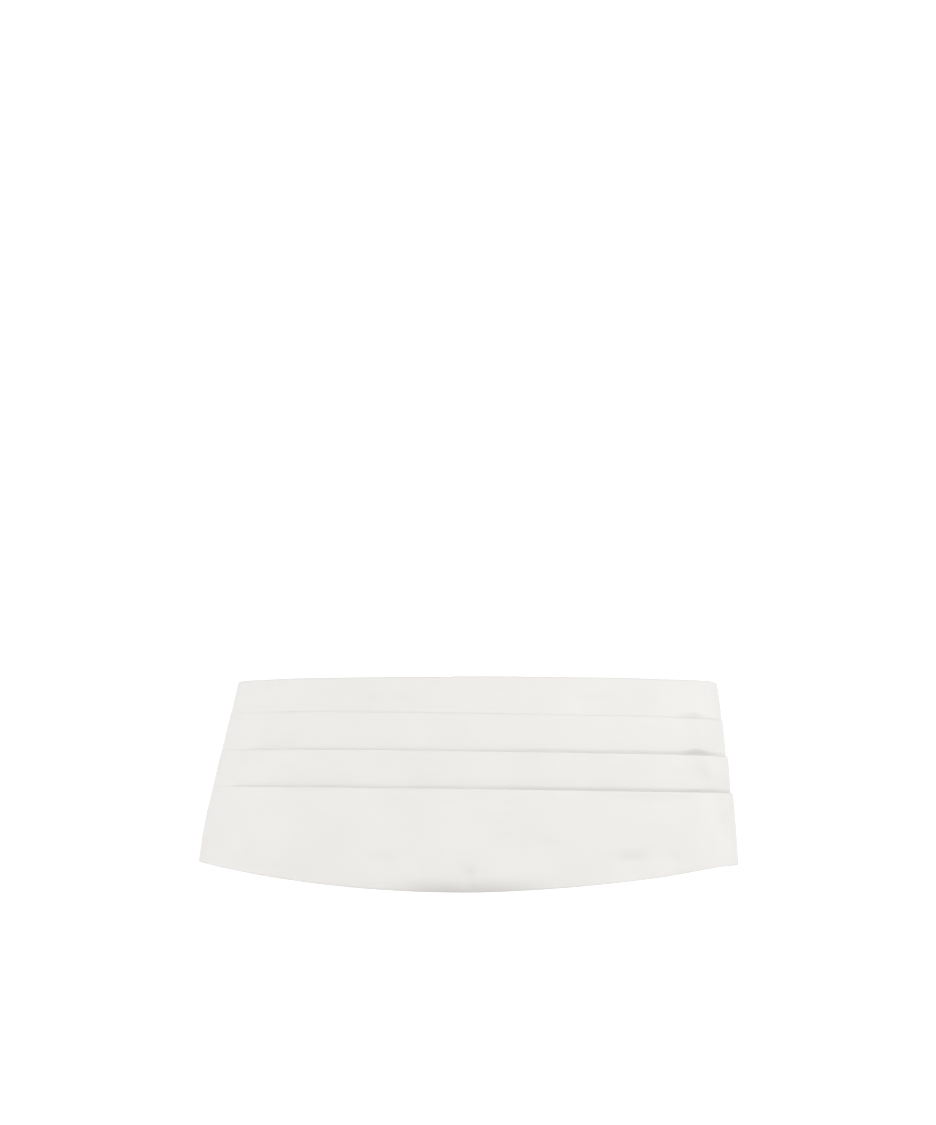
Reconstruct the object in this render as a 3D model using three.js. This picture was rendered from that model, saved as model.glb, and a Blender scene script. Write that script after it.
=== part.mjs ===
// A pleated silk cummerbund, closed round the waist as it is worn.
// Millimetres, +Z up, the pleated front faces -Y and +X is on the viewer's right.
// The origin is the centre of the waist opening, at half the height of the middle of the front.
// Places on the sash are given as a turn round +Z from the middle of the front, a height,
// and how far out they lie from the inner face.
import * as THREE from "three";

// The waist that the sash goes round, measured on the sash's inner face. depthLean is how much
// half its depth shrinks for each millimetre up.
const hemHalfWidth = 154.5;
const waistHalfDepth = 103;
const depthLean = 0.08;

// The pleated front: its height in the middle and at its ends, its length from the middle to an end,
// the place of its pleats, and its cloth. A pleat's fold stands foldThickness thick before a pocket
// that is pleatDepth deep and pocketGap wide. pleatTilt is how far a pleat drops from side to side.
const frontHeight = 121;
const endHeight = 55;
const panelHalfLength = 308;
const topBand = 20.3;
const pleatPitch = 21.1;
const pleatDepth = 9;
const pleatTilt = 4.1;
const hemRiseLeft = 16.7;
const hemRiseRight = 14.4;
const wall = 1.6;
const clothLayer = 0.3;
const foldThickness = 1;
const pocketGap = 0.4;
const edgeRound = 0.5;
const bandFullness = 0.55;

// The two straps and the clasp that join the ends at the back. A strap starts strapOverlap inside
// the panel's end, and its own end comes back strapReturn under it from the clasp.
const strapWidth = 25;
const strapThickness = 1.2;
const strapOverlap = 22;
const strapReturn = 20;
const returnSettle = 0.6;
const seatGap = 0.3;
const loopGap = 0.4;
const claspThickness = 2;
const claspPlateWidth = 16;
const claspBarWidth = 3;
const claspRail = 3;
const claspSideGap = 0.8;
const claspCorner = 2.5;
const claspBevel = 0.4;

// Half the waist's width at each height, as shares of hemHalfWidth. Heights are shares of half
// of frontHeight. The left side slopes in more than the right.
const WAIST_PROFILE = [
  { height: -1.0, left: 1.002, right: 1.002 },
  { height: -0.75, left: 0.994, right: 0.997 },
  { height: -0.4, left: 0.968, right: 0.981 },
  { height: -0.03, left: 0.94, right: 0.963 },
  { height: 0.32, left: 0.908, right: 0.947 },
  { height: 0.67, left: 0.875, right: 0.934 },
  { height: 1.0, left: 0.852, right: 0.922 },
];

// How fast the hem rises away from the middle of the front: higher stays flat for longer
const HEM_CURVE = { left: 2, right: 1.6 };

const pleatCount = 3;
const stationsPerSide = 31;
const strapStep = 8;
const loopSteps = 6;
const returnSteps = 5;
const quarterTurn = Math.PI / 2;
const halfFront = frontHeight / 2;

const waistProfile = new THREE.CubicInterpolant(
  WAIST_PROFILE.map((row) => row.height * halfFront),
  WAIST_PROFILE.flatMap((row) => [row.left * hemHalfWidth, row.right * hemHalfWidth]),
  2,
);

function halfWidth(turn, height) {
  const [left, right] = waistProfile.evaluate(height);
  return Math.sin(turn) < 0 ? left : right;
}

function halfDepth(height) {
  return waistHalfDepth - depthLean * height;
}

// The point at a turn and a height, out millimetres outside the sash's inner face
function waistPoint(turn, height, out) {
  const wide = halfWidth(turn, height);
  const deep = halfDepth(height);
  const outward = new THREE.Vector2(deep * Math.sin(turn), -wide * Math.cos(turn)).normalize();
  return new THREE.Vector3(
    wide * Math.sin(turn) + outward.x * out,
    -deep * Math.cos(turn) + outward.y * out,
    height,
  );
}

// Half the waist at the height of the straps, from the middle of the front to the middle of the back
function halfLoop(side) {
  return new THREE.EllipseCurve(
    0, 0, halfWidth(side * quarterTurn, 0), halfDepth(0), -quarterTurn, quarterTurn,
  );
}

// The turn that lies a distance from the middle of the front, to the right for side 1
function turnAlong(side, distance) {
  return side * Math.PI * halfLoop(side).getUtoTmapping(0, distance);
}

// A closed body through rings of points. outline is the first ring drawn flat, anticlockwise.
function loft(rings, outline) {
  const count = outline.length;
  const faces = [];
  for (let ring = 0; ring + 1 < rings.length; ring++) {
    for (let point = 0; point < count; point++) {
      const here = ring * count + point;
      const beside = ring * count + ((point + 1) % count);
      faces.push(here, here + count, beside + count, here, beside + count, beside);
    }
  }
  const last = (rings.length - 1) * count;
  for (const [a, b, c] of THREE.ShapeUtils.triangulateShape(outline, [])) {
    faces.push(a, b, c, last + c, last + b, last + a);
  }
  const geometry = new THREE.BufferGeometry().setFromPoints(rings.flat());
  geometry.setIndex(faces);
  geometry.computeVertexNormals();
  return geometry;
}

// Heights of the top edge, the fold of each pleat and the hem at a turn. The hem rises and the
// pleats tilt towards the sides, and behind the sides everything narrows to the panel's end.
function edgeHeights(turn) {
  const side = Math.sign(turn) || 1;
  const sideways = Math.sin(THREE.MathUtils.clamp(turn, -quarterTurn, quarterTurn));
  const top = halfFront;
  const hemRise = side < 0 ? hemRiseLeft : hemRiseRight;
  const hemCurve = side < 0 ? HEM_CURVE.left : HEM_CURVE.right;
  const hem = -halfFront + hemRise * Math.abs(sideways) ** hemCurve;
  const folds = Array.from(
    { length: pleatCount },
    (_, pleat) => top - topBand - pleat * pleatPitch - (pleatTilt / 2) * sideways,
  );
  const endTurn = Math.abs(turnAlong(side, panelHalfLength));
  const behind = Math.max(0, (Math.abs(turn) - quarterTurn) / (endTurn - quarterTurn));
  const taper = 1 - Math.cos(quarterTurn * behind);
  const middle = (top + hem) / 2;
  const endScale = endHeight / (top - hem);
  const scale = THREE.MathUtils.lerp(1, endScale, taper);
  const place = (height) => (height - middle) * scale + middle * (1 - taper);
  return { top: place(top), folds: folds.map(place), hem: place(hem), scale };
}

// The panel cut across at a turn: each point is how far out it lies and its height. It goes down
// the inner face, round the hem, and up over the bands, whose folded tops stand off the band above.
function panelSection(turn) {
  const { top, folds, hem, scale } = edgeHeights(turn);
  const depth = pleatDepth * scale;
  const footOf = (band) => wall + band * clothLayer;
  const standing = [wall];
  for (let pleat = 0; pleat < pleatCount; pleat++) {
    const bandTop = pleat ? folds[pleat - 1] : top;
    const foot = folds[pleat] - depth;
    const share = (folds[pleat] - foot) / (bandTop - foot);
    const under = THREE.MathUtils.lerp(footOf(pleat), standing[pleat], share);
    standing.push(under + pocketGap + foldThickness);
  }
  const points = [[0, top - edgeRound]];
  for (const fold of folds) points.push([0, fold]);
  points.push([0, (folds.at(-1) + hem) / 2], [0, hem + edgeRound]);
  const hemOut = footOf(pleatCount);
  points.push([hemOut / 2, hem], [hemOut, hem + edgeRound]);
  for (let pleat = pleatCount - 1; pleat >= 0; pleat--) {
    const fold = folds[pleat];
    const out = standing[pleat + 1];
    const lowest = pleat === pleatCount - 1;
    const bandFoot = lowest ? hem : folds[pleat + 1];
    const lowerOut = lowest ? hemOut : standing[pleat + 2] - pocketGap - foldThickness;
    points.push(
      [THREE.MathUtils.lerp(lowerOut, out, bandFullness), (fold + bandFoot) / 2],
      [out, fold - edgeRound],
      [out - foldThickness / 2, fold],
      [out - foldThickness, fold - edgeRound],
      [footOf(pleat) + pocketGap, fold - depth],
      [footOf(pleat), fold - depth],
    );
  }
  points.push([wall, top - edgeRound], [wall / 2, top]);
  return points;
}

function pleatedFront() {
  const turns = [];
  for (let station = -stationsPerSide; station <= stationsPerSide; station++) {
    const side = Math.sign(station) || 1;
    turns.push((Math.abs(station) / stationsPerSide) * turnAlong(side, panelHalfLength));
  }
  const rings = turns.map((turn) =>
    panelSection(turn).map(([out, height]) => waistPoint(turn, height, out)),
  );
  return loft(rings, panelSection(turns[0]).map(([out, height]) => new THREE.Vector2(out, height)));
}

// Where the straps and the clasp's bars run: out from the inner face, and from the middle of the back
const strapOut = -(seatGap + strapThickness / 2);
const loopRadius = strapThickness / 2 + loopGap + claspThickness / 2;
const barOut = strapOut - loopRadius;
const claspSlot = loopRadius + strapThickness / 2 + loopGap;
const barStart = claspPlateWidth / 2 + claspSlot;
const claspHalfWidth = barStart + claspBarWidth;
const loopCentre = barStart + edgeRound;

// The middle line of a strap, as distances from the middle of the back and out from the inner face.
// It starts under the panel's end, runs over the clasp's bar, round it, and back along itself.
function strapLine(side) {
  const length = halfLoop(side).getLength();
  const start = length - panelHalfLength + strapOverlap;
  const line = [];
  const steps = Math.round((start - loopCentre) / strapStep);
  for (let step = 0; step < steps; step++) {
    line.push([THREE.MathUtils.lerp(start, loopCentre, step / steps), strapOut]);
  }
  for (let step = 0; step <= loopSteps; step++) {
    const angle = (Math.PI * step) / loopSteps;
    line.push([loopCentre - loopRadius * Math.sin(angle), barOut + loopRadius * Math.cos(angle)]);
  }
  const under = strapOut - strapThickness - loopGap;
  const easeFrom = claspHalfWidth + edgeRound;
  for (let step = 0; step <= returnSteps; step++) {
    const share = step / returnSteps;
    const rise = THREE.MathUtils.smoothstep(share, 0, returnSettle);
    line.push([
      easeFrom + share * strapReturn,
      THREE.MathUtils.lerp(barOut - loopRadius, under, rise),
    ]);
  }
  return line.map(([distance, out]) => new THREE.Vector2(distance, out));
}

function strap(side) {
  const line = strapLine(side);
  const length = halfLoop(side).getLength();
  const outline = [[-1, -1], [1, -1], [1, 1], [-1, 1]].map(
    ([across, up]) => new THREE.Vector2((across * strapThickness) / 2, (up * strapWidth) / 2),
  );
  const rings = line.map((point, index) => {
    const before = line[Math.max(index - 1, 0)];
    const after = line[Math.min(index + 1, line.length - 1)];
    const along = after.clone().sub(before).normalize();
    const outward = new THREE.Vector2(along.y, -along.x);
    return outline.map(({ x: across, y: height }) => {
      const place = point.clone().addScaledVector(outward, across);
      return waistPoint(turnAlong(side, length - place.x), height, place.y);
    });
  });
  return loft(side > 0 ? rings : rings.reverse(), outline);
}

function roundedRectangle(target, left, right, low, high, radius) {
  target.moveTo(left + radius, low);
  target.lineTo(right - radius, low);
  target.absarc(right - radius, low + radius, radius, -quarterTurn, 0);
  target.lineTo(right, high - radius);
  target.absarc(right - radius, high - radius, radius, 0, quarterTurn);
  target.lineTo(left + radius, high);
  target.absarc(left + radius, high - radius, radius, quarterTurn, Math.PI);
  target.lineTo(left, low + radius);
  target.absarc(left + radius, low + radius, radius, Math.PI, Math.PI + quarterTurn);
  return target;
}

// A flat metal plate with a slot near each end, drawn upright and facing -Y
function backClasp() {
  const slotHalfHeight = strapWidth / 2 + claspSideGap;
  const halfHeight = slotHalfHeight + claspRail;
  const plate = roundedRectangle(
    new THREE.Shape(),
    -claspHalfWidth + claspBevel, claspHalfWidth - claspBevel,
    -halfHeight + claspBevel, halfHeight - claspBevel,
    claspCorner,
  );
  const slotInner = claspPlateWidth / 2;
  for (const side of [-1, 1]) {
    const [left, right] = [side * slotInner, side * barStart].sort((a, b) => a - b);
    plate.holes.push(
      roundedRectangle(
        new THREE.Path(),
        left - claspBevel, right + claspBevel,
        -slotHalfHeight - claspBevel, slotHalfHeight + claspBevel,
        claspBevel * 2,
      ),
    );
  }
  const geometry = new THREE.ExtrudeGeometry(plate, {
    depth: claspThickness - 2 * claspBevel,
    bevelThickness: claspBevel,
    bevelSize: claspBevel,
    bevelSegments: 1,
    curveSegments: 4,
  });
  geometry.translate(0, 0, claspBevel - claspThickness / 2);
  geometry.rotateX(quarterTurn);
  return geometry;
}

const silk = new THREE.MeshStandardMaterial({ color: 0xecebe6, roughness: 0.55, metalness: 0 });
const webbing = new THREE.MeshStandardMaterial({ color: 0xe4e3dd, roughness: 0.75, metalness: 0 });
const nickel = new THREE.MeshStandardMaterial({ color: 0xb9b8b2, roughness: 0.32, metalness: 1 });

function piece(name, geometry, material) {
  const mesh = new THREE.Mesh(geometry, material);
  mesh.name = name;
  return mesh;
}

const cummerbund = new THREE.Group();
cummerbund.add(piece("pleated_front", pleatedFront(), silk));
cummerbund.add(piece("left_strap", strap(-1), webbing));
cummerbund.add(piece("right_strap", strap(1), webbing));

const clasp = piece("back_clasp", backClasp(), nickel);
const barTurn = turnAlong(1, halfLoop(1).getLength() - (barStart + claspHalfWidth) / 2);
clasp.position.y = waistPoint(barTurn, 0, barOut).y;
clasp.rotation.x = Math.atan(depthLean);
cummerbund.add(clasp);

export default cummerbund;
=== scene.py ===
import math

import bmesh
import bpy
import numpy as np
from mathutils import Matrix, Vector


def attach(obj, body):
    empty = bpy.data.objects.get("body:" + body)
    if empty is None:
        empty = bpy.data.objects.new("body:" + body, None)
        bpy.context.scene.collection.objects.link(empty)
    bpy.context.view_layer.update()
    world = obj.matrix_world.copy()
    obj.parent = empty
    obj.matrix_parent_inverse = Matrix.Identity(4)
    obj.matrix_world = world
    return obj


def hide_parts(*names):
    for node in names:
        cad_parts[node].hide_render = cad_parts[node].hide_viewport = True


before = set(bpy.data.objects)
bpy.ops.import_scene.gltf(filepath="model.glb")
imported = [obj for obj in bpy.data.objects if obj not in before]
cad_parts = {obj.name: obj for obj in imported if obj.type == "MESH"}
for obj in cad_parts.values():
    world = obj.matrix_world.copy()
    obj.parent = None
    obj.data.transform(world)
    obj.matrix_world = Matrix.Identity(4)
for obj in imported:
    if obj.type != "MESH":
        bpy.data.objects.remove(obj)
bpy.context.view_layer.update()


# The silk front.
# One length of ivory silk, folded into three pleats that open upwards, pressed, turned in at both
# edges and sewn shut at its ends. It is one sheet laid round the waist, folds and all.
FRONT_HEIGHT = 0.121
END_HEIGHT = 0.055
PANEL_HALF_LENGTH = 0.308
TOP_BAND = 0.0207
PLEAT_PITCH = 0.02115
PLEAT_DEPTH = 0.009
# How much lower the folds lie at the right side than at the left
PLEAT_TILT = 0.0041
# The hem's rise from the middle to the left side and to the right, and the powers of its curve
HEM_RISE = (0.0167, 0.0144)
HEM_CURVE = (2.0, 1.6)
HEM_HALF_WIDTH = 0.1545
# Half the waist's depth at half height, and how much of each length of height it loses
WAIST_HALF_DEPTH = 0.103
DEPTH_LEAN = 0.08
HALF_FRONT = FRONT_HEIGHT / 2
QUARTER = math.pi / 2

# Half the waist's width at each height: (height, left, right), as shares of half the front's
# height and of the half width at the hem
WAIST_PROFILE = (
    (-1.0, 1.020, 1.022),
    (-0.75, 1.002, 1.004),
    (-0.4, 0.970, 0.980),
    (-0.03, 0.943, 0.966),
    (0.32, 0.911, 0.953),
    (0.67, 0.878, 0.938),
    (1.0, 0.850, 0.922),
)
levels, lefts, rights = np.array(WAIST_PROFILE).T
left_width = np.poly1d(np.polyfit(levels * HALF_FRONT, lefts * HEM_HALF_WIDTH, 4))
right_width = np.poly1d(np.polyfit(levels * HALF_FRONT, rights * HEM_HALF_WIDTH, 4))
WAIST_STEPS = 3000


def half_width(turn, height):
    return np.where(np.sin(turn) < 0, left_width(height), right_width(height))


def half_depth(height):
    return WAIST_HALF_DEPTH - DEPTH_LEAN * height


def waist_point(turn, height, out):
    """Where a turn from the middle of the front, a height and a distance out of the inner face meet."""
    wide, deep = half_width(turn, height), half_depth(height)
    normal_x, normal_y = deep * np.sin(turn), -wide * np.cos(turn)
    size = np.hypot(normal_x, normal_y)
    x = wide * np.sin(turn) + normal_x / size * out
    y = -deep * np.cos(turn) + normal_y / size * out
    return np.stack(np.broadcast_arrays(x, y, height), axis=-1)


def half_loop(side):
    """Turns and the distances to them along the waist, from the middle of the front to the back."""
    turns = np.linspace(0, math.pi, WAIST_STEPS + 1)
    wide, deep = half_width(side * QUARTER, 0.0), half_depth(0.0)
    steps = np.hypot(np.diff(wide * np.sin(turns)), np.diff(deep * np.cos(turns)))
    return turns, np.concatenate([[0], np.cumsum(steps)])


def turn_along(distance):
    """The turn at a distance along the waist from the middle of the front, left of it if negative."""
    turns_left, lengths_left = half_loop(-1)
    turns_right, lengths_right = half_loop(1)
    far = np.abs(distance)
    left, right = np.interp(far, lengths_left, turns_left), np.interp(far, lengths_right, turns_right)
    return np.where(distance < 0, -left, right)


def distance_at(across):
    """The distance along the waist of what lies at x = across, seen from the front."""
    side = -1 if across < 0 else 1
    turns, lengths = half_loop(side)
    return side * float(np.interp(math.asin(abs(across) / half_width(side * QUARTER, 0.0)), turns, lengths))


def ease(value):
    """0 to 1, slow at both ends."""
    value = np.clip(value, 0, 1)
    return value * value * (3 - 2 * value)


def between(distance, start, rising, end, falling):
    """1 from start to end and 0 outside, easing in over the length rising and out over falling."""
    return ease((distance - start) / rising) * ease((end - distance) / falling)


def swell(distance, where, half_length, height):
    """A smooth hump, or a hollow where the height is negative."""
    return height * np.exp(-(((distance - where) / half_length) ** 2))


# The waves that make up the drift, each as a share of its reach and of its height
DRIFT_WAVES = (1.0, 0.57, 0.31, 0.19)


def wander(distance, reach, seed):
    """A slow drift from about -1 to 1 along the cloth, because nothing sewn is quite straight."""
    phases = np.random.default_rng(seed).uniform(0, 2 * math.pi, len(DRIFT_WAVES))
    total = 0
    for share, phase in zip(DRIFT_WAVES, phases):
        total = total + share * np.sin(2 * math.pi * distance / (reach * share) + phase)
    return total / 2


# The top edge's height at the left end and its steps to the right: (where, over what length, height)
TOP_START = HALF_FRONT - 0.0006
TOP_STEPS = (
    (-0.145, 0.030, 0.0003),
    (-0.012, 0.003, 0.0003),
    (0.030, 0.006, -0.0003),
    (0.085, 0.050, -0.0004),
)
# Slow swells of the top edge and of the hem: (where, half length, height)
TOP_SWELL = (0.203, 0.018, -0.0013)
HEM_SWELL = (0.152, 0.030, 0.0011)
FOLD_STRAY = 0.00012
FOLD_STRAY_REACH = 0.16


def edge_heights(distance, turn):
    """Heights of the top edge, the three folds and the hem, and how much the panel has narrowed."""
    sideways = np.sin(np.clip(turn, -QUARTER, QUARTER))
    left = turn < 0
    rise, curve = np.where(left, *HEM_RISE), np.where(left, *HEM_CURVE)
    top = TOP_START + swell(distance, *TOP_SWELL)
    for where, length, height in TOP_STEPS:
        top = top + height * ease((distance - where) / length)
    hem = -HALF_FRONT + rise * np.abs(sideways) ** curve + swell(distance, *HEM_SWELL)
    folds = [
        HALF_FRONT - TOP_BAND - pleat * PLEAT_PITCH - PLEAT_TILT / 2 * sideways
        + FOLD_STRAY * wander(distance, FOLD_STRAY_REACH, pleat)
        for pleat in range(len(FOLDS))
    ]
    end_turn = np.abs(turn_along(np.where(left, -PANEL_HALF_LENGTH, PANEL_HALF_LENGTH)))
    behind = np.clip((np.abs(turn) - QUARTER) / (end_turn - QUARTER), 0, 1)
    taper = 1 - np.cos(QUARTER * behind)
    middle = (top + hem) / 2
    scale = 1 + taper * (END_HEIGHT / (top - hem) - 1)
    place = [(height - middle) * scale + middle * (1 - taper) for height in (top, *folds, hem)]
    return place[0], place[1:-1], place[-1], scale


# Small dents in the silk, as worn, each steep above and slow below:
# (across, height, half length, half height, slant, depth)
DENTS = (
    (0.1320, 0.0030, 0.0085, 0.0065, -0.4, 0.0012),
    (0.1405, -0.0230, 0.0080, 0.0060, 0.3, 0.0012),
    (0.1010, -0.0090, 0.0300, 0.0034, 0.0, 0.0008),
    (0.0870, -0.0430, 0.0100, 0.0045, 0.3, 0.0019),
    (0.1105, -0.0425, 0.0060, 0.0040, 0.2, 0.0009),
    (0.0420, -0.0340, 0.0100, 0.0040, -0.2, 0.0007),
    (-0.0440, -0.0425, 0.0080, 0.0040, 0.0, 0.0008),
    (-0.0578, 0.0455, 0.0120, 0.0040, 0.1, 0.0009),
    (-0.0381, 0.0460, 0.0060, 0.0045, -0.2, 0.0009),
    (0.0742, 0.0470, 0.0130, 0.0035, 0.0, 0.0009),
    (0.0000, -0.0520, 0.0040, 0.0048, 0.0, 0.0018),
)
SLOW_BELOW = 2.6
# Where the hem rolls under: (across, half length, height of the roll, how far it rolls)
HEM_ROLLS = (
    (0.000, 0.036, 0.0085, 0.0047),
    (0.114, 0.021, 0.0045, 0.0004),
    (-0.060, 0.030, 0.0040, 0.0003),
)
ROLL_END = 1.2
# Faint waves all over the cloth
WAVE_DEPTH = 0.00016
WAVE_REACH = 0.11
WAVE_SEED = 11
WAVE_SLANT = 0.3
WAVE_HEIGHT = 0.013
WAVE_TURNING = 20


def settle(distance, height, hem):
    """How far out the cloth lies from its smooth form, at all its layers alike."""
    out = WAVE_DEPTH * wander(distance + WAVE_SLANT * height, WAVE_REACH, WAVE_SEED)
    out = out * np.cos(height / WAVE_HEIGHT + distance * WAVE_TURNING)
    for across, high, half_length, half_height, slant, depth in DENTS:
        along, up = distance - distance_at(across), height - high
        steep = np.where(up > 0, up / half_height, up / (half_height * SLOW_BELOW))
        out = out - depth * np.exp(-((along - slant * up) / half_length) ** 2 - steep ** 2)
    for across, half_length, roll_height, depth in HEM_ROLLS:
        roll = np.exp(-(np.abs((distance - distance_at(across)) / half_length) ** 3))
        low = np.clip((hem + roll_height - height) / roll_height, 0, ROLL_END)
        out = out - depth * roll * low ** 2
    return out


# The folds from the top down: (thickness of the folded cloth, and where it is pressed flat on the
# left; gap of the pocket at the middle and at the right; how far the band above sinks behind it at
# the middle, at the right and where it gapes; how far up it sinks there; where across it has closed)
FOLDS = (
    (0.0005, 0.0003, 0.0004, 0.0004, 0.00000, 0.00000, 0.0008, 0.0042, -0.120),
    (0.0008, 0.0004, 0.0012, 0.0018, 0.00003, 0.00023, 0.0013, 0.0046, -0.129),
    (0.0009, 0.0002, 0.0014, 0.0021, 0.00007, 0.00025, 0.0004, 0.0024, -0.135),
)
# How far out of the inner face the top pocket's foot lies, and how much further each next one does
WALL = 0.0016
CLOTH = 0.0003
# How far up a band sinks where it doesn't gape
SINKING = 0.0024
# Where across the pockets gape, and how much wider they are there as a share of the sinking
GAPE = 0.1305
GAPE_HALF_LENGTH = 0.010
GAPE_WIDENING = 0.7
# The pockets close before the left side and open again behind it
CLOSED_SHARE = 0.05
LEFT_CLOSING = 0.018
LEFT_SIDE = -float(half_loop(-1)[1][WAIST_STEPS // 2])
BEHIND_SIDE = 0.012
BEHIND_OPENING = 0.03
# Where they are as wide as at the right, and where the right side draws them in:
# (start, length of the change, end, length of the change)
WIDE_ON_RIGHT = (0.006, 0.034, 0.225, 0.05)
DRAWN_IN = (0.163, 0.032, 0.26, 0.05)
DRAWN_IN_SHARE = 0.73
GAP_STRAY = 0.15
GAP_STRAY_REACH = 0.09
GAP_SEED = 30
# At the panel's ends the pockets are pressed shut and the folds thinner
END_CLOSING = 0.012
END_GAP = 0.1
END_FOLD = 0.75


def fold_sizes(distance, top, folds, scale, closing):
    """For each fold, how far out its pocket's foot lies and the band below it stands, the pocket's
    gap with the thickness of the folded cloth, and how deep and how far up the band above sinks."""
    feet, standing, gaps, sinks = [], [WALL + 0 * top], [], []
    on_right = between(distance, *WIDE_ON_RIGHT)
    gaping = swell(distance, distance_at(GAPE), GAPE_HALF_LENGTH, 1)
    for pleat, fold in enumerate(FOLDS):
        thick, flat_thick, gap, gap_right, sunk, sunk_right, sunk_most, sunk_up, closed_at = fold
        foot = WALL + pleat * CLOTH
        opened = ease((distance - distance_at(closed_at)) / LEFT_CLOSING)
        opened = opened + ease((LEFT_SIDE - BEHIND_SIDE - distance) / BEHIND_OPENING)
        wide = gap + (gap_right - gap) * on_right + GAPE_WIDENING * sunk_most * gaping
        wide = wide * (1 - DRAWN_IN_SHARE * between(distance, *DRAWN_IN))
        wide = wide * (1 + GAP_STRAY * wander(distance, GAP_STRAY_REACH, GAP_SEED + pleat))
        wide = wide * (CLOSED_SHARE + (1 - CLOSED_SHARE) * opened) * (END_GAP + (1 - END_GAP) * closing)
        folded = (flat_thick + (thick - flat_thick) * opened) * (END_FOLD + (1 - END_FOLD) * closing)
        sink = sunk + (sunk_right - sunk) * on_right + (sunk_most - sunk_right) * gaping
        band_top = folds[pleat - 1] if pleat else top
        depth = PLEAT_DEPTH * scale
        share = depth / (band_top - folds[pleat] + depth)
        under = foot + share * (standing[-1] - foot)
        feet.append(foot + 0 * top)
        standing.append(under + wide + folded)
        gaps.append((wide, folded))
        sinks.append((sink * opened * closing, SINKING + (sunk_up - SINKING) * gaping))
    return feet, standing, gaps, sinks


# The panel's thickness at its top edge and hem, the height of their rounding, the turned-in strips'
# height and the step that they make in the inner face
EDGE_THICKNESS = 0.0016
EDGE_ROUNDING = 0.00035
TURNED_IN = 0.011
TURNED_STEP = 0.00025
# The height of a fold's lip as a share of its thickness, and how much the bands swell out
LIP_HEIGHT = 0.6
BAND_FULLNESS = 0.00018
HEM_BAND_FULLNESS = 0.0006
# The panel's ends: length of the rounding, and the shares of thickness and height lost over it
END_ROUNDING = 0.0012
END_FLATTENED = 0.96
END_SHORTENED = 0.012
# Rows of points round the panel: on a turned-in strip, the wrong side between the strips, the hem's
# band, a rounded edge or lip, and a pocket's front and floor
STRIP_ROWS, BACK_ROWS, HEM_BAND_ROWS, LIP_ROWS, POCKET_ROWS, FLOOR_ROWS = 6, 26, 40, 8, 6, 3
# The same on a band: down in its pocket, where it sinks, and above
HIDDEN_ROWS, SINKING_ROWS, BAND_ROWS = 7, 9, 15


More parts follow.
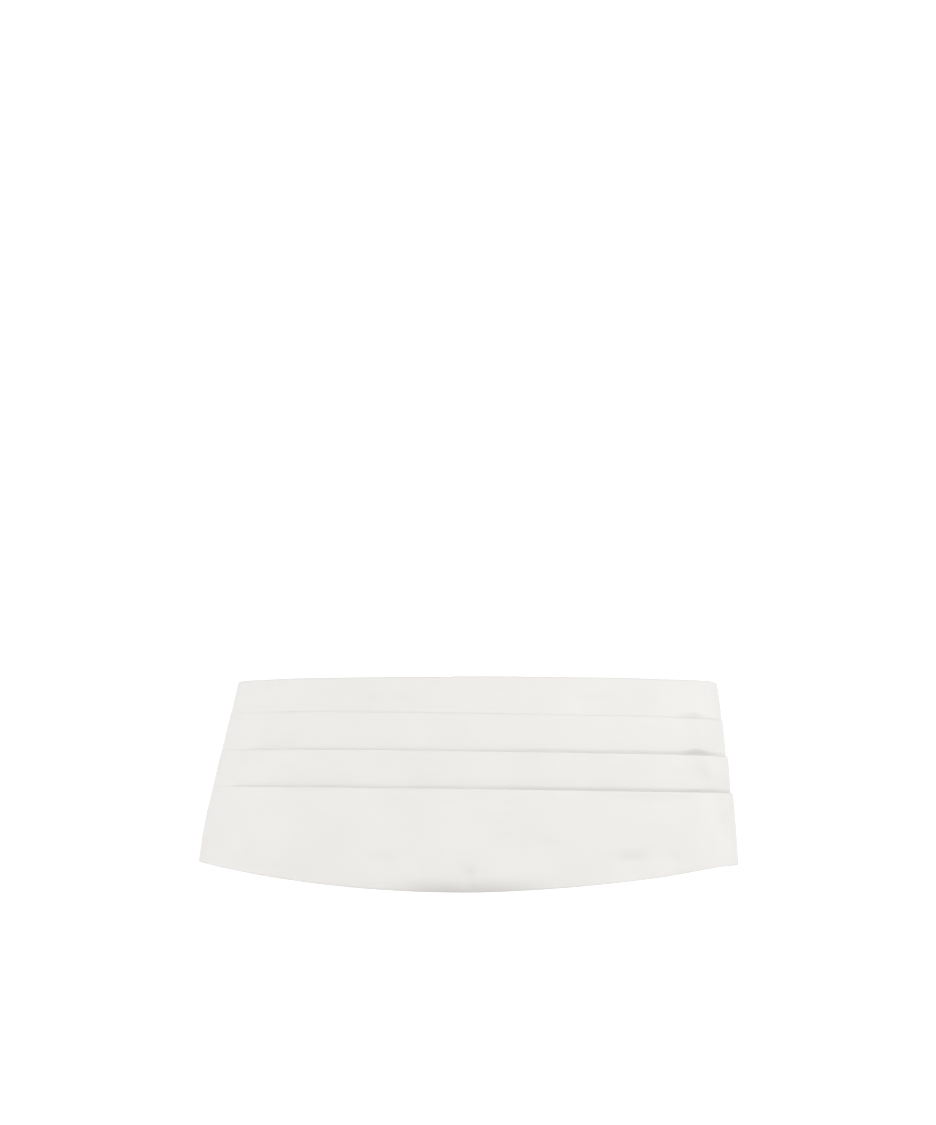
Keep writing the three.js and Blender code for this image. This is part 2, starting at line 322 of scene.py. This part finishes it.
def panel_profile(distance, turn):
    """The panel cut across at each station, as a closed ring: how far out and how high each point is.
    It runs from the top edge down the inner face, round the hem and up over bands and folds. Also
    gives the numbers of the ring's points where its parts begin."""
    top, folds, hem, scale = edge_heights(distance, turn)
    closing = ease((PANEL_HALF_LENGTH - np.abs(distance)) / END_CLOSING)
    feet, standing, gaps, sinks = fold_sizes(distance, top, folds, scale, closing)
    points, marks = [], {}

    def straight(start, end, count, fullness=0.0):
        for step in range(1, count + 1):
            share = step / count
            out = start[0] + share * (end[0] - start[0]) + fullness * math.sin(math.pi * share)
            points.append((out, start[1] + share * (end[1] - start[1])))

    def arc(centre, across, up, start, end, count):
        for step in range(1, count + 1):
            angle = start + (end - start) * step / count
            points.append((centre[0] + across * math.cos(angle), centre[1] + up * math.sin(angle)))

    def band(foot, floor, lip, upper, sinking):
        depth, reach = sinking
        above = upper[1] - lip - reach
        levels = [floor + share * (lip - floor) for share in np.linspace(0, 1, HIDDEN_ROWS)[1:]]
        levels += [lip + share * reach for share in np.linspace(0, 1, SINKING_ROWS)[1:]]
        levels += [lip + reach + share * above for share in np.linspace(0, 1, BAND_ROWS)[1:]]
        for level in levels:
            share = (level - floor) / (upper[1] - floor)
            sunk = np.minimum((level - floor) / (lip - floor), 1 - ease((level - lip) / reach))
            full = BAND_FULLNESS * np.sin(math.pi * share)
            points.append((foot + share * (upper[0] - foot) + full - depth * sunk, level))

    edge = EDGE_ROUNDING
    turned = TURNED_IN * scale
    inner_top, inner_hem = (0 * top, top - edge), (0 * hem, hem + edge)
    upper_strip = (-TURNED_STEP * closing, top - edge - turned)
    lower_strip = (-TURNED_STEP * closing, hem + edge + turned)
    upper_back = (0 * top, top - edge - turned - TURNED_STEP)
    lower_back = (0 * hem, hem + edge + turned + TURNED_STEP)
    points.append(inner_top)
    straight(inner_top, upper_strip, STRIP_ROWS)
    marks["wrong_side"] = len(points) - 1
    straight(upper_strip, upper_back, 1)
    straight(upper_back, lower_back, BACK_ROWS)
    straight(lower_back, lower_strip, 1)
    marks["right_side"] = len(points) - 1
    straight(lower_strip, inner_hem, STRIP_ROWS)
    marks["inner_hem"] = len(points) - 1
    arc((EDGE_THICKNESS / 2, hem + edge), EDGE_THICKNESS / 2, edge, math.pi, 2 * math.pi, LIP_ROWS)
    marks["hem"] = len(points) - 1

    last = len(FOLDS) - 1
    for pleat in reversed(range(len(FOLDS))):
        wide, folded = gaps[pleat]
        lip_height, floor = folds[pleat] - folded * LIP_HEIGHT, folds[pleat] - PLEAT_DEPTH * scale
        if pleat == last:
            hem_start = (EDGE_THICKNESS + 0 * hem, hem + edge)
            straight(hem_start, (standing[-1], lip_height), HEM_BAND_ROWS, HEM_BAND_FULLNESS)
        lip_centre = (standing[pleat + 1] - folded / 2, lip_height)
        arc(lip_centre, folded / 2, folded * LIP_HEIGHT, 0, math.pi, LIP_ROWS)
        straight((standing[pleat + 1] - folded, lip_height), (feet[pleat] + wide, floor), POCKET_ROWS)
        arc((feet[pleat] + wide / 2, floor), wide / 2, wide / 2, 0, -math.pi, FLOOR_ROWS)
        if pleat:
            upper = (standing[pleat], folds[pleat - 1] - gaps[pleat - 1][1] * LIP_HEIGHT)
        else:
            upper = (EDGE_THICKNESS + 0 * top, top - edge)
        band(feet[pleat], floor, folds[pleat], upper, sinks[pleat])
    marks["top"] = len(points) - 1
    arc((EDGE_THICKNESS / 2, top - edge), EDGE_THICKNESS / 2, edge, 0, math.pi, LIP_ROWS)
    outs, heights = (np.stack(np.broadcast_arrays(*values), axis=1) for values in zip(*points))
    end = np.clip(1 - (PANEL_HALF_LENGTH - np.abs(distance)) / END_ROUNDING, 0, 1)[:, None]
    middle = (WALL + len(FOLDS) * CLOTH) / 2
    outs = middle + (outs - middle) * np.sqrt(1 - END_FLATTENED * end ** 2)
    heights = heights * (1 - END_SHORTENED * end ** 2)
    return outs + settle(distance[:, None], heights, hem[:, None]), heights, marks


SAME_PLACE = 1e-7


def lay_grid(name, places, flat, materials, inside=()):
    """A closed ring of cloth drawn out along its length. places and flat, its spots on the flat cloth
    in metres, are both [station][point round the ring], whose last point is the first again. The
    second material covers the ring's segments that inside numbers."""
    stations, around = places.shape[0] - 1, places.shape[1] - 1
    made = bmesh.new()
    layer = made.loops.layers.uv.new("cloth")
    bmesh.ops.create_grid(made, x_segments=stations, y_segments=around, size=0.5)
    spots = {}
    for vertex in made.verts:
        station = round((vertex.co.x + 0.5) * stations)
        point = round((vertex.co.y + 0.5) * around)
        spots[vertex] = (station, point)
    for face in made.faces:
        face.smooth = True
        face.material_index = int(min(spots[vertex][1] for vertex in face.verts) in inside)
        for loop in face.loops:
            loop[layer].uv = flat[spots[loop.vert]]
    for vertex, spot in spots.items():
        vertex.co = places[spot]
    bmesh.ops.remove_doubles(made, verts=made.verts, dist=SAME_PLACE)
    rims = [edge for edge in made.edges if edge.is_boundary]
    caps = bmesh.ops.holes_fill(made, edges=rims, sides=0)["faces"]
    bmesh.ops.triangulate(made, faces=caps)
    bmesh.ops.recalc_face_normals(made, faces=made.faces)
    return make_piece(name, made, materials)


def make_piece(name, made, materials):
    mesh = bpy.data.meshes.new(name)
    made.to_mesh(mesh)
    made.free()
    for material in materials:
        mesh.materials.append(material)
    piece = bpy.data.objects.new(name, mesh)
    bpy.context.scene.collection.objects.link(piece)
    return piece


def flat_spots(places, along, level):
    """Each point's spot on the flat cloth, measured round the ring from the point numbered level."""
    steps = np.linalg.norm(np.diff(places, axis=1), axis=2)
    girth = np.concatenate([np.zeros((len(places), 1)), np.cumsum(steps, axis=1)], axis=1)
    girth = girth - girth[:, level:level + 1]
    return np.stack(np.broadcast_arrays(along[:, None], girth), axis=2)


def linear(hex_colour):
    """An sRGB hex colour as Blender's linear red, green, blue and alpha."""
    channels = [int(hex_colour[place:place + 2], 16) / 255 for place in (1, 3, 5)]
    return (*(c / 12.92 if c <= 0.04045 else ((c + 0.055) / 1.055) ** 2.4 for c in channels), 1.0)


# A Mix node's colour sockets go by number, because its sockets for values have the same names
MIX_LOW, MIX_HIGH, MIX_OUT = 6, 7, 2


def new_material(name):
    """A material and its main shader."""
    material = bpy.data.materials.new(name)
    material.use_nodes = True
    return material, material.node_tree.nodes["Principled BSDF"]


def add(material, kind, settings, inputs):
    """Adds a shader node. An input goes by its name or number and is a value, or a pair of a node and
    the name of its output."""
    node = material.node_tree.nodes.new("ShaderNode" + kind)
    for name, value in settings.items():
        setattr(node, name, value)
    for name, value in inputs.items():
        if isinstance(value, tuple) and isinstance(value[0], bpy.types.Node):
            material.node_tree.links.new(value[0].outputs[value[1]], node.inputs[name])
        else:
            node.inputs[name].default_value = value
    return node


# Silk faille, woven with fine crosswise ribs and pressed. The ribs catch a soft sheen, thicker
# threads, the slubs, run along the cloth here and there, and its tone varies in faint clouds. Real
# ribs are 0.4 mm apart, drawn 0.7 mm to show. Waves in bands repeat at BAND_PERIOD at a scale of 1.
BAND_PERIOD = 2 * math.pi / 20
RIB = 0.0007
SLUB_LENGTH = 0.033
SLUB_WIDTH = 0.0007
CLOUDS_A_METRE = 22.0


def weave_silk(name, dark, light, gloss_low, gloss_high, relief_depth):
    silk, shader = new_material(name)
    cloth = add(silk, "UVMap", {"uv_map": "cloth"}, {})
    ribs = add(silk, "TexWave", {"wave_type": "BANDS", "bands_direction": "X"}, {
        "Vector": (cloth, "UV"), "Scale": BAND_PERIOD / RIB, "Distortion": 0.6, "Detail": 2.0,
        "Detail Scale": 0.35,
    })
    drawn_out = add(silk, "Mapping", {}, {
        "Vector": (cloth, "UV"), "Scale": (1 / SLUB_LENGTH, 1 / SLUB_WIDTH, 1.0),
    })
    slubs = add(silk, "TexNoise", {}, {"Vector": (drawn_out, "Vector"), "Scale": 1.0, "Detail": 3.0})
    fine = add(silk, "Math", {"operation": "MULTIPLY"}, {0: (ribs, "Fac"), 1: 0.6})
    relief = add(silk, "Math", {"operation": "MULTIPLY_ADD"}, {
        0: (slubs, "Fac"), 1: 0.9, 2: (fine, "Value"),
    })
    bump = add(silk, "Bump", {}, {
        "Height": (relief, "Value"), "Strength": 0.35, "Distance": relief_depth,
    })
    cloud = add(silk, "TexNoise", {}, {"Vector": (cloth, "UV"), "Scale": CLOUDS_A_METRE, "Detail": 2.0})
    shade = add(silk, "Math", {"operation": "MULTIPLY_ADD"}, {0: (slubs, "Fac"), 1: 0.5, 2: -0.25})
    tone = add(silk, "Math", {"operation": "ADD", "use_clamp": True}, {
        0: (shade, "Value"), 1: (cloud, "Fac"),
    })
    colour = add(silk, "Mix", {"data_type": "RGBA"}, {
        "Factor": (tone, "Value"), MIX_LOW: linear(dark), MIX_HIGH: linear(light),
    })
    gloss = add(silk, "MapRange", {}, {
        "Value": (slubs, "Fac"), "To Min": gloss_low, "To Max": gloss_high,
    })
    silk.node_tree.links.new(colour.outputs[MIX_OUT], shader.inputs["Base Color"])
    silk.node_tree.links.new(gloss.outputs["Result"], shader.inputs["Roughness"])
    silk.node_tree.links.new(bump.outputs["Normal"], shader.inputs["Normal"])
    shader.inputs["IOR"].default_value = 1.45
    return silk


silk_face = weave_silk("silk_faille_face", "#DBD9D7", "#E2E0DE", 0.44, 0.58, 0.00012)
silk_back = weave_silk("silk_faille_back", "#D8D5CF", "#DFDDD7", 0.68, 0.80, 0.00020)

# The panel is cut across in even steps, and closer together where its ends are rounded
STATIONS = 400
END_STATIONS = np.array([0.0, 0.00015, 0.0005, 0.0012, 0.0025])
FIRST_STATION = 0.004
inner_end = PANEL_HALF_LENGTH - FIRST_STATION
distances = np.concatenate([
    -PANEL_HALF_LENGTH + END_STATIONS,
    np.linspace(-inner_end, inner_end, STATIONS),
    (PANEL_HALF_LENGTH - END_STATIONS)[::-1],
])
turns = turn_along(distances)
outs, heights, marks = panel_profile(distances, turns)
places = waist_point(turns[:, None], heights, outs)
places = np.concatenate([places, places[:, :1]], axis=1)
spots = flat_spots(places, distances, marks["top"])
silk_front = lay_grid("silk_front", places, spots, (silk_face, silk_back),
                      range(marks["wrong_side"], marks["right_side"]))
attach(silk_front, "root")
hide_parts("pleated_front")


# The panel's stitches.
# Silk thread. A machine row closes each end through all the folds, and hand stitches a few
# millimetres apart hold the turned-in edges down on the inside.
# Half the thread's thickness, the gap of its twist lines, how many times wider than thick it lies,
# and how far its middle stands off the cloth
THREAD = 0.00017
TWIST = 0.0003
SPREAD = 1.3
LIFT = 0.3 * THREAD
BEAD_SIDES = 6
# The machine rows: a stitch's length, the step to the next, in from the end and off the edges
STITCH = 0.0022
STITCH_STEP = 0.0028
SEAM_INSET = 0.004
SEAM_MARGIN = 0.003
# The hand stitches: the same, with the place on the turned-in strip as a share of its height
HAND_STITCH = 0.0012
HAND_STEP = 0.0070
HAND_INSET = 0.08
HAND_MARGIN = 0.012


def spin_thread(name, dark, light):
    """Twisted thread: the twist shows as slanting lines about 0.3 mm apart."""
    thread, shader = new_material(name)
    place = add(thread, "TexCoord", {}, {})
    twist = add(thread, "TexWave", {"wave_type": "BANDS", "bands_direction": "DIAGONAL"}, {
        "Vector": (place, "Object"), "Scale": BAND_PERIOD / TWIST, "Distortion": 1.0,
    })
    colour = add(thread, "Mix", {"data_type": "RGBA"}, {
        "Factor": (twist, "Fac"), MIX_LOW: linear(dark), MIX_HIGH: linear(light),
    })
    bump = add(thread, "Bump", {}, {"Height": (twist, "Fac"), "Strength": 0.4, "Distance": 0.00005})
    thread.node_tree.links.new(colour.outputs[MIX_OUT], shader.inputs["Base Color"])
    thread.node_tree.links.new(bump.outputs["Normal"], shader.inputs["Normal"])
    shader.inputs["Roughness"].default_value = 0.5
    return thread


def sew(made, start, end, facing):
    """Adds one stitch, a drawn-out bead of thread on a cloth that faces the way given."""
    along = Vector(end) - Vector(start)
    length = along.length
    along.normalize()
    sideways = along.cross(Vector(facing)).normalized()
    turned = Matrix((sideways, along.cross(sideways), along)).transposed().to_4x4()
    sized = Matrix.Diagonal((THREAD * SPREAD, THREAD, length / 2, 1))
    middle = Matrix.Translation((Vector(start) + Vector(end)) / 2)
    bmesh.ops.create_uvsphere(made, u_segments=BEAD_SIDES, v_segments=BEAD_SIDES, radius=1,
                              matrix=middle @ turned @ sized)


def facing_out(turn):
    """The level direction straight out of the waist at a turn."""
    wide, deep = float(half_width(turn, 0.0)), half_depth(0.0)
    return Vector((deep * math.sin(turn), -wide * math.cos(turn), 0)).normalized()


panel_thread = spin_thread("silk_thread", "#CFCCC4", "#DEDBD4")
made = bmesh.new()
outer_face = slice(marks["hem"], marks["top"])
for side in (-1, 1):
    seam_distance = np.array([side * (PANEL_HALF_LENGTH - SEAM_INSET)])
    seam_turn = turn_along(seam_distance)
    around, high, _ = panel_profile(seam_distance, seam_turn)
    outer_outs, outer_heights = around[0, outer_face], high[0, outer_face]
    lowest, highest = outer_heights.min() + SEAM_MARGIN, outer_heights.max() - SEAM_MARGIN
    for stitch_height in np.arange(lowest, highest, STITCH_STEP):
        near = np.abs(outer_heights - stitch_height - STITCH / 2) < STITCH
        outer = outer_outs[near].max() + LIFT
        inner = -LIFT - TURNED_STEP / 2
        for lies_at, outward in ((outer, 1), (inner, -1)):
            ends = waist_point(seam_turn, np.array([stitch_height, stitch_height + STITCH]), lies_at)
            sew(made, ends[0], ends[1], outward * facing_out(seam_turn[0]))
hand_end = PANEL_HALF_LENGTH - HAND_MARGIN
hand_starts = np.arange(-hand_end, hand_end, HAND_STEP)
hand_places = np.stack([hand_starts, hand_starts + HAND_STITCH], axis=1).ravel()
hand_turns = turn_along(hand_places)
around, high, _ = panel_profile(hand_places, hand_turns)
rings = waist_point(hand_turns[:, None], high, around)
for strip_edge, cloth_edge in (("wrong_side", 0), ("right_side", marks["inner_hem"])):
    near, far = rings[:, marks[strip_edge]], rings[:, cloth_edge]
    ends = near + HAND_INSET * (far - near)
    for start, end, turn in zip(ends[::2], ends[1::2], hand_turns[::2]):
        inward = -facing_out(turn)
        sew(made, Vector(start) + inward * LIFT, Vector(end) + inward * LIFT, inward)
for face in made.faces:
    face.smooth = True
panel_stitches = make_piece("panel_stitches", made, (panel_thread,))
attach(panel_stitches, "root")


# The straps.
# Two lengths of woven ivory webbing. Each is sewn inside an end of the panel, passes over the
# clasp's bar, round it, and comes back under itself, where it is sewn again.
STRAP_WIDTH = 0.025
STRAP_THICKNESS = 0.0012
STRAP_OVERLAP = 0.022
STRAP_RETURN = 0.020
SEAT_GAP = 0.0003
LOOP_GAP = 0.0004
LOOP_SLACK = 0.0005
CLASP_THICKNESS = 0.002
CLASP_PLATE_WIDTH = 0.016
CLASP_BAR_WIDTH = 0.003
# The share of its way back over which the strap rises to lie against itself
RISING = 0.6
# How finely the strap is divided along its line and round its cut
STRAP_STEP = 0.001
LOOP_STEPS = 16
RETURN_STEPS = 23
FACE_STEPS = 12
SELVEDGE_STEPS = 6
# The sewn box in the panel's end, and the two rows that hold the strap to itself
BOX_INSET = 0.003
BOX_CLEARANCE = 0.001
ROW_GAP = 0.0015
strap_out = -(SEAT_GAP + STRAP_THICKNESS / 2)
loop_radius = STRAP_THICKNESS / 2 + LOOP_GAP + CLASP_THICKNESS / 2
bar_out = strap_out - loop_radius
bar_start = CLASP_PLATE_WIDTH / 2 + loop_radius + STRAP_THICKNESS / 2 + LOOP_GAP
loop_centre = bar_start + LOOP_SLACK
clasp_half_width = bar_start + CLASP_BAR_WIDTH


def strap_line(side):
    """The strap's middle line, as distances from the middle of the back and out of the inner face."""
    length = half_loop(side)[1][-1]
    start = length - PANEL_HALF_LENGTH + STRAP_OVERLAP
    run = np.linspace(start, loop_centre, round((start - loop_centre) / STRAP_STEP))[:-1]
    angles = np.linspace(0, math.pi, LOOP_STEPS + 1)
    comes_back = np.linspace(0, 1, RETURN_STEPS + 1)
    under = strap_out - STRAP_THICKNESS - LOOP_GAP
    lift = bar_out - loop_radius + ease(comes_back / RISING) * (under - bar_out + loop_radius)
    round_bar = loop_centre - loop_radius * np.sin(angles), bar_out + loop_radius * np.cos(angles)
    return np.concatenate([
        np.stack([run, np.full_like(run, strap_out)], axis=1),
        np.stack(round_bar, axis=1),
        np.stack([clasp_half_width + LOOP_SLACK + comes_back * STRAP_RETURN, lift], axis=1),
    ])


def strap_ring():
    """The webbing cut across: flat faces and round selvedges, as (through, up), closed."""
    through, up = STRAP_THICKNESS / 2, STRAP_WIDTH / 2
    ring = []
    for height in np.linspace(-up + through, up - through, FACE_STEPS + 1):
        ring.append((through, height))
    for angle in np.linspace(0, math.pi, SELVEDGE_STEPS + 1)[1:-1]:
        ring.append((through * math.cos(angle), up - through + through * math.sin(angle)))
    for height in np.linspace(up - through, -up + through, FACE_STEPS + 1):
        ring.append((-through, height))
    for angle in np.linspace(math.pi, 2 * math.pi, SELVEDGE_STEPS + 1)[1:-1]:
        ring.append((through * math.cos(angle), -up + through + through * math.sin(angle)))
    return np.array(ring + ring[:1])


# Spun-thread webbing, woven plain with thick crosswise picks, 1 mm apart. It is duller than the silk.
PICK = 0.001
WARP = 0.0006
webbing, webbing_shader = new_material("woven_spun_webbing")
tape = add(webbing, "UVMap", {"uv_map": "cloth"}, {})
picks = add(webbing, "TexWave", {"wave_type": "BANDS", "bands_direction": "X"}, {
    "Vector": (tape, "UV"), "Scale": BAND_PERIOD / PICK, "Distortion": 0.4, "Detail": 1.0,
})
warp = add(webbing, "TexWave", {"wave_type": "BANDS", "bands_direction": "Y"}, {
    "Vector": (tape, "UV"), "Scale": BAND_PERIOD / WARP, "Distortion": 0.5, "Detail": 1.0,
})
crossing = add(webbing, "Math", {"operation": "MULTIPLY_ADD"}, {
    0: (warp, "Fac"), 1: 0.4, 2: (picks, "Fac"),
})
tape_bump = add(webbing, "Bump", {}, {
    "Height": (crossing, "Value"), "Strength": 0.6, "Distance": 0.0002,
})
tape_colour = add(webbing, "Mix", {"data_type": "RGBA"}, {
    "Factor": (crossing, "Value"), MIX_LOW: linear("#CCC9C0"), MIX_HIGH: linear("#DCDAD3"),
})
webbing.node_tree.links.new(tape_colour.outputs[MIX_OUT], webbing_shader.inputs["Base Color"])
webbing.node_tree.links.new(tape_bump.outputs["Normal"], webbing_shader.inputs["Normal"])
webbing_shader.inputs["Roughness"].default_value = 0.78
webbing_thread = spin_thread("spun_thread", "#C4C1B8", "#D8D5CD")


def make_strap(name, side, node):
    """One side's strap and its stitches, in place of the node."""
    line = strap_line(side)
    length = half_loop(side)[1][-1]
    along = np.gradient(line, axis=0)
    along = along / np.linalg.norm(along, axis=1, keepdims=True)
    ring = strap_ring()
    through, up = ring[:, 0][None, :], ring[:, 1][None, :]
    distance = line[:, :1] + along[:, 1:] * through
    out = line[:, 1:] - along[:, :1] * through
    places = waist_point(turn_along(side * (length - distance)), up + 0 * out, out)
    walked = np.concatenate([[0], np.cumsum(np.linalg.norm(np.diff(line, axis=0), axis=1))])
    strap = lay_grid(name, places, flat_spots(places, walked, 0), (webbing,))
    made = bmesh.new()

    def sew_line(start, end, out):
        """Stitches from one (distance from the middle of the back, height) to another."""
        start, end = np.array(start), np.array(end)
        count = round(float(np.linalg.norm(end - start)) / STITCH_STEP)
        for step in range(count):
            shares = np.array([step / count, (step + STITCH / STITCH_STEP) / count])
            back, high = (start[:, None] + shares * (end - start)[:, None])
            turn = turn_along(side * (length - back))
            ends = waist_point(turn, high, out)
            sew(made, ends[0], ends[1], -facing_out(turn[0]))

    far = length - PANEL_HALF_LENGTH + STRAP_OVERLAP - BOX_INSET
    near = length - PANEL_HALF_LENGTH + BOX_INSET + BOX_CLEARANCE
    high = STRAP_WIDTH / 2 - BOX_INSET
    outer = strap_out + STRAP_THICKNESS / 2 + LIFT
    inner = strap_out - STRAP_THICKNESS / 2 - LIFT
    corners = ((far, -high), (far, high), (near, high), (near, -high))
    for corner, following in zip(corners, corners[1:] + corners[:1]):
        sew_line(corner, following, inner)
    sew_line(corners[0], corners[2], inner)
    sew_line(corners[1], corners[3], inner)
    sewn_back = clasp_half_width + STRAP_RETURN - BOX_INSET
    for back in (sewn_back, sewn_back - ROW_GAP):
        sew_line((back, -high), (back, high), outer)
        sew_line((back, -high), (back, high), inner - STRAP_THICKNESS - LOOP_GAP)
    for face in made.faces:
        face.smooth = True
    stitches = make_piece(name + "_stitches", made, (webbing_thread,))
    for piece in (strap, stitches):
        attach(piece, "root")
    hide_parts(node)


make_strap("left_webbing", -1, "left_strap")
make_strap("right_webbing", 1, "right_strap")


# The clasp.
# One plain plate of nickel-plated steel, stamped with a slot for each strap and brushed level. Real
# brush lines are about 0.15 mm apart, drawn 0.6 mm to show.
BRUSH_LENGTH = 0.02
BRUSH_GAP = 0.000625
nickel, nickel_shader = new_material("brushed_nickel_plate")
place = add(nickel, "TexCoord", {}, {})
grain_scale = add(nickel, "Mapping", {}, {
    "Vector": (place, "Object"), "Scale": (1 / BRUSH_LENGTH, 1 / BRUSH_LENGTH, 1 / BRUSH_GAP),
})
grain = add(nickel, "TexNoise", {}, {"Vector": (grain_scale, "Vector"), "Scale": 1.0, "Detail": 3.0})
grain_bump = add(nickel, "Bump", {}, {"Height": (grain, "Fac"), "Strength": 0.5, "Distance": 0.00008})
polish = add(nickel, "MapRange", {}, {"Value": (grain, "Fac"), "To Min": 0.18, "To Max": 0.42})
plating = add(nickel, "Mix", {"data_type": "RGBA"}, {
    "Factor": (grain, "Fac"), MIX_LOW: linear("#908D85"), MIX_HIGH: linear("#DAD7D0"),
})
nickel.node_tree.links.new(plating.outputs[MIX_OUT], nickel_shader.inputs["Base Color"])
nickel_shader.inputs["Metallic"].default_value = 1.0
nickel.node_tree.links.new(polish.outputs["Result"], nickel_shader.inputs["Roughness"])
nickel.node_tree.links.new(grain_bump.outputs["Normal"], nickel_shader.inputs["Normal"])
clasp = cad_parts["back_clasp"]
clasp.data.materials.clear()
clasp.data.materials.append(nickel)


# Floor, light and camera.
# A pale matt floor a metre below, where a studio floor is under a standing wearer's hips, in a
# white-walled room with a dim ceiling and one soft lamp. The wall straight behind is lit least.
FLOOR_DEPTH = 1.0
FLOOR_HALF_SIZE = 9.5
# The light of the wall behind and of the others, and the directions' Y between which it changes
BACK_WALL, FRONT_WALL = 1.1, 2.235
BACK_START, FRONT_START = 0.99, 0.3
# The directions' Z between which walls turn into ceiling, and the share of their light that it has
WALL_TOP, CEILING_START = 0.17, 0.8
CEILING_SHARE = 0.12
LAMP_SIZE = 1.6
LAMP_WATTS = 4.0
LAMP_PLACE = (2.2, -1.6, 1.4)
LAMP_TURN = (math.radians(62), 0, math.radians(54))
floor_mesh = bmesh.new()
bmesh.ops.create_grid(floor_mesh, x_segments=1, y_segments=1, size=FLOOR_HALF_SIZE)
bmesh.ops.translate(floor_mesh, verts=floor_mesh.verts, vec=(0, 0, -FLOOR_DEPTH))
matt_paint, matt_shader = new_material("matt_pale_paint")
matt_shader.inputs["Base Color"].default_value = linear("#F0EFEC")
matt_shader.inputs["Roughness"].default_value = 0.9
studio_floor = make_piece("studio_floor", floor_mesh, (matt_paint,))

room = bpy.data.worlds.new("white_room")
room.use_nodes = True
direction = add(room, "TexCoord", {}, {})
looked_at = add(room, "SeparateXYZ", {}, {0: (direction, "Generated")})
walls = add(room, "MapRange", {"interpolation_type": "SMOOTHSTEP"}, {
    "Value": (looked_at, "Y"), "From Min": BACK_START, "From Max": FRONT_START,
    "To Min": BACK_WALL, "To Max": FRONT_WALL,
})
ceiling = add(room, "MapRange", {"interpolation_type": "SMOOTHSTEP"}, {
    "Value": (looked_at, "Z"), "From Min": WALL_TOP, "From Max": CEILING_START,
    "To Min": 1.0, "To Max": CEILING_SHARE,
})
room_light = add(room, "Math", {"operation": "MULTIPLY"}, {
    0: (walls, "Result"), 1: (ceiling, "Result"),
})
background = room.node_tree.nodes["Background"]
background.inputs["Color"].default_value = (1.0, 1.0, 1.0, 1.0)
room.node_tree.links.new(room_light.outputs["Value"], background.inputs["Strength"])
bpy.context.scene.world = room

soft_box = bpy.data.lights.new("soft_box", "AREA")
soft_box.shape = "DISK"
soft_box.size = LAMP_SIZE
soft_box.energy = LAMP_WATTS
lamp = bpy.data.objects.new("soft_box", soft_box)
lamp.location = LAMP_PLACE
lamp.rotation_euler = LAMP_TURN
bpy.context.scene.collection.objects.link(lamp)

# The camera as the photo's seems to be: a little below the middle of the band and tilted up
CAMERA_DISTANCE = 3.0
CAMERA_HEIGHT = -0.020
CAMERA_TILT = math.radians(2.851)
FOCAL_PIXELS = 5172
PHOTO_HEIGHT = 1125
SENSOR_HEIGHT = 36.0
camera_data = bpy.data.cameras.new("camera")
camera_data.sensor_fit = "VERTICAL"
camera_data.sensor_height = SENSOR_HEIGHT
camera_data.lens = SENSOR_HEIGHT * FOCAL_PIXELS / PHOTO_HEIGHT
camera = bpy.data.objects.new("camera", camera_data)
camera.location = (0, -CAMERA_DISTANCE, CAMERA_HEIGHT)
camera.rotation_euler = (QUARTER + CAMERA_TILT, 0, 0)
bpy.context.scene.collection.objects.link(camera)
bpy.context.scene.camera = camera
bpy.context.scene.view_settings.view_transform = "Standard"
